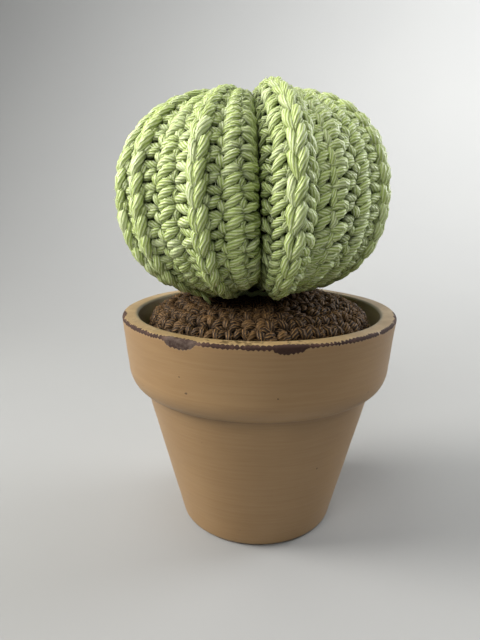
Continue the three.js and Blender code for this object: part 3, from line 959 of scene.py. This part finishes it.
EDGE = 0.25, [
    [(-0.6, 0.02, -1.0, 0.65), (-0.38, 0.14, 0.0, 1.02), (-0.02, 0.32, 0.35, 1.12),
     (0.32, 0.28, 0.35, 1.08), (0.48, -0.02, 0.0, 0.96), (0.5, -0.4, -0.9, 0.65)],
    [(-0.6, -0.44, -1.0, 0.65), (-0.32, -0.32, 0.0, 1.0), (0.02, -0.12, 0.3, 1.1),
     (0.28, 0.0, 0.0, 0.96), (0.42, 0.06, -0.9, 0.65)],
]
ARCH = 0.0, [
    [(-0.64, 0.1, -1.1, 0.7), (-0.42, 0.24, 0.0, 1.04), (-0.06, 0.46, 0.35, 1.12),
     (0.28, 0.58, 0.15, 1.04), (0.58, 0.58, -1.0, 0.7)],
    [(-0.58, -0.52, -1.1, 0.7), (-0.4, -0.32, 0.0, 1.02), (-0.06, -0.02, 0.45, 1.14),
     (0.3, 0.22, 0.2, 1.06), (0.62, 0.3, -1.0, 0.7)],
    [(0.06, -0.02, -1.2, 0.65), (0.24, -0.2, -0.35, 0.98), (0.42, -0.42, -0.35, 0.98),
     (0.54, -0.64, -1.2, 0.65)],
]
FAN = 0.28, [
    [(-0.64, 0.04, -1.2, 0.65), (-0.36, 0.14, -0.2, 1.05), (0.0, 0.27, 0.15, 1.16),
     (0.34, 0.38, 0.05, 1.05), (0.64, 0.44, -1.1, 0.65)],
    [(-0.62, -0.06, -1.2, 0.65), (-0.34, -0.14, -0.35, 1.02), (0.02, -0.24, 0.0, 1.12),
     (0.36, -0.36, -0.1, 1.02), (0.64, -0.48, -1.2, 0.65)],
    [(0.3, 0.32, -1.2, 0.65), (0.44, 0.14, -0.5, 0.95), (0.48, -0.1, -0.5, 0.95),
     (0.38, -0.32, -1.2, 0.65)],
    [(-0.44, -0.16, -1.2, 0.65), (-0.5, -0.36, -0.4, 0.98), (-0.48, -0.62, -0.4, 0.98),
     (-0.4, -0.82, -1.2, 0.65)],
]
HOOK = -0.1, [
    [(-0.06, -0.5, -1.2, 0.65), (0.14, -0.42, -0.35, 1.0), (0.4, -0.46, -0.25, 1.0),
     (0.62, -0.6, -1.2, 0.65)],
    [(-0.64, -0.44, -1.2, 0.65), (-0.36, -0.26, -0.3, 1.0), (0.05, -0.04, 0.05, 1.1),
     (0.4, 0.1, -0.4, 0.95), (0.62, 0.16, -1.2, 0.65)],
    [(-0.42, 0.54, -1.2, 0.65), (-0.14, 0.4, -0.1, 1.02), (0.14, 0.2, 0.1, 1.1),
     (0.42, -0.06, -0.3, 0.98), (0.54, -0.2, -1.2, 0.65)],
    [(-0.72, 0.12, -1.2, 0.65), (-0.46, 0.16, -0.5, 0.95), (-0.16, 0.14, -0.5, 0.95),
     (0.04, 0.06, -1.2, 0.65)],
]
KINDS = {"rib": RIB_LOOPS, "roof": ROOF, "arch": ARCH, "fan": FAN, "hook": HOOK,
         "shoulder": SHOULDER, "ladder": LADDER, "edge": EDGE}
numbers = {name: number for number, name in enumerate(KINDS)}

# Each panel's rows slip against the last panel's, and drift up and down a little. A narrow cell
# has thinner strands than one with full room.
PANEL_SLIP = 0.45
COLUMN_SLIP = 0.08
POLES_LEFT = 0.005
FULL_ROOM = 0.0031
THINNEST = 0.42
BODY_PLUMP = (0.93, 1.07)
BODY_LOOSE_ACROSS = 0.00018
BODY_LOOSE_UP = 0.0003
DRIFT = 0.0012
DRIFT_DEGREES = 14
DRIFT_ROWS = 3.5
CELL_OVERLAP = 1.04

rng = np.random.default_rng(11)
columns = []
for index, (at, rise, width, fade, half, own, between) in enumerate(RIBS):
    following = RIBS[(index + 1) % len(RIBS)]
    first = at + half
    last = following[0] - following[4] + (360 if index + 1 == len(RIBS) else 0)
    slip = PANEL_SLIP * index
    if own:
        columns.append((at, 2 * half, own, slip - PANEL_SLIP))
    pitch = (last - first) / len(between)
    columns += [(first + pitch * (k + 0.5), pitch, kind, slip) for k, kind in enumerate(between)]

row_pitch = body_length / STITCH_ROWS
body_cells = []
for at, pitch, kind, slip in columns:
    wide = pitch / 360 * body_girth
    lift = (slip + KINDS[kind][0] + rng.uniform(-COLUMN_SLIP, COLUMN_SLIP)) % 1
    for row in range(-1, STITCH_ROWS + 1):
        share = (row + lift) / STITCH_ROWS
        if not POLES_LEFT < share < 1 - POLES_LEFT:
            continue
        room = float(body_at(share)) / HALF_WIDTH * wide
        plump = min(1.0, max(THINNEST, (room / FULL_ROOM) ** 0.7)) * rng.uniform(*BODY_PLUMP)
        drift = noise.noise(Vector((at / DRIFT_DEGREES, row / DRIFT_ROWS, 0.5))) * DRIFT
        across = rng.uniform(-BODY_LOOSE_ACROSS, BODY_LOOSE_ACROSS)
        up = rng.uniform(-BODY_LOOSE_UP, BODY_LOOSE_UP)
        body_cells.append((
            (at % 360) / 360 * body_girth + across, share * body_length + up + drift,
            numbers[kind], wide * CELL_OVERLAP, row_pitch, plump))

# The yarn's hollow and deep tones are painted shade and its crest tone a painted highlight; the
# backing's tones are painted shade for the holes between the strands.
GREENS = linear(149, 168, 80), linear(182, 199, 118), linear(230, 236, 202), linear(30, 46, 2)
green_yarn = yarn("green_yarn", GREENS, 9, 0.6, 0.27, {
    "Specular Tint": linear(244, 250, 225), "Sheen Weight": 0.05, "Sheen Roughness": 0.35,
    "Sheen Tint": linear(235, 245, 190),
    "Subsurface Weight": 0.1, "Subsurface Radius": (0.6, 0.8, 0.3), "Subsurface Scale": 0.0006})
green_backing = backing("green_backing", linear(40, 58, 8), linear(88, 112, 32))
body_stitches = stitch_shapes("body_stitch", [strands for _, strands in KINDS.values()])
cactus = worked("cactus_body", body_cells, body_guide, body_stitches, {
    "Flat width": body_girth, "Flat height": body_length, "Yarn radius": YARN_RADIUS,
    "Sides": 8, "Rings": 8, "Twist": 3.4, "Waver": 0.0009, "Seed": 5,
    "Fibres per area": 20000.0, "Fibre length": 0.0016,
    "Backing depth": BODY_BACKING, "Yarn": green_yarn, "Backing": green_backing})
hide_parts("cactus_cover")
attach(cactus, "root")

# ---- Joining thread -------------------------------------------------------------------------
# The same green yarn whips the gathered foot of the cactus to the crown of the cushion. One of
# its stitches shows low on the left: it leaves the body and ends just above the cushion.
THREAD_RADIUS = 0.0008
THREAD_EASE = 0.0001
TAIL_RADIUS = 0.00062
THREAD_SIDES = 10
WHIP_STITCHES = 12
WHIP_WEAVE = 0.0003
STEPS_TO_A_STITCH = 10
PLY_TURN = 0.35
PLY_TRAVEL = 0.2


def lay_yarn(name, path, radius):
    """A tube of green yarn along a smooth path. A path that ends where it starts is a ring."""
    closed = np.allclose(path[0], path[-1])
    if closed:
        path = path[:-1]
        travel = np.roll(path, -1, 0) - np.roll(path, 1, 0)
    else:
        travel = np.gradient(path, axis=0)
    travel /= np.linalg.norm(travel, axis=1, keepdims=True)
    side = np.cross(travel, (0, 0, 1.0))
    side /= np.linalg.norm(side, axis=1, keepdims=True)
    upper = np.cross(side, travel)
    rings = len(path)
    points, faces, around, along = [], [], [], []
    for k in range(rings):
        taper = 1 if closed else max(0.25, math.sin(math.pi * (k + 0.5) / rings)) ** 0.4
        for j in range(THREAD_SIDES):
            turn = 2 * math.pi * j / THREAD_SIDES
            points.append(path[k] + radius * taper * (
                math.cos(turn) * side[k] + math.sin(turn) * upper[k]))
            spun = turn + PLY_TURN * k
            around += [math.cos(spun), math.sin(spun), 0]
            along.append(PLY_TRAVEL * k)
    for k in range(rings if closed else rings - 1):
        a, b = k * THREAD_SIDES, (k + 1) % rings * THREAD_SIDES
        for j in range(THREAD_SIDES):
            following = (j + 1) % THREAD_SIDES
            faces.append((a + j, a + following, b + following, b + j))
    if not closed:
        last = (rings - 1) * THREAD_SIDES
        faces.append(tuple(range(THREAD_SIDES)))
        faces.append(tuple(range(last + THREAD_SIDES - 1, last - 1, -1)))
    piece = add_mesh(name, points, faces)
    for attribute, kind, field, values in (
        ("around", "FLOAT_VECTOR", "vector", around),
        ("along", "FLOAT", "value", along),
        ("high", "FLOAT", "value", [2 * radius] * len(points)),
    ):
        stored = piece.data.attributes.new(attribute, kind, "POINT")
        stored.data.foreach_set(field, values)
    outward(piece)
    piece.data.materials.append(green_yarn)
    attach(piece, "root")
    return piece


low, high = (Vector(corner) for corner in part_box("joining_thread"))
ring_centre, ring_radius = (low + high) / 2, (high.x - low.x) / 2 - THREAD_RADIUS
turns = np.linspace(0, 2 * math.pi, WHIP_STITCHES * STEPS_TO_A_STITCH + 1)
ring_path = np.stack([
    ring_centre.x + ring_radius * np.sin(turns), ring_centre.y - ring_radius * np.cos(turns),
    ring_centre.z + WHIP_WEAVE * np.sin(WHIP_STITCHES * turns)], 1)
ring_path[-1] = ring_path[0]
thread = lay_yarn("joining_whip_stitches", ring_path, THREAD_RADIUS - THREAD_EASE)
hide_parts("joining_thread")

TAIL = ((-0.0162, -0.0133, 0.0738), (-0.0158, -0.0153, 0.073), (-0.0152, -0.0163, 0.0722),
        (-0.0145, -0.0167, 0.0714), (-0.0139, -0.0163, 0.0706), (-0.0136, -0.0152, 0.0697))
lay_yarn("sewing_stitch", np.array(TAIL), TAIL_RADIUS)
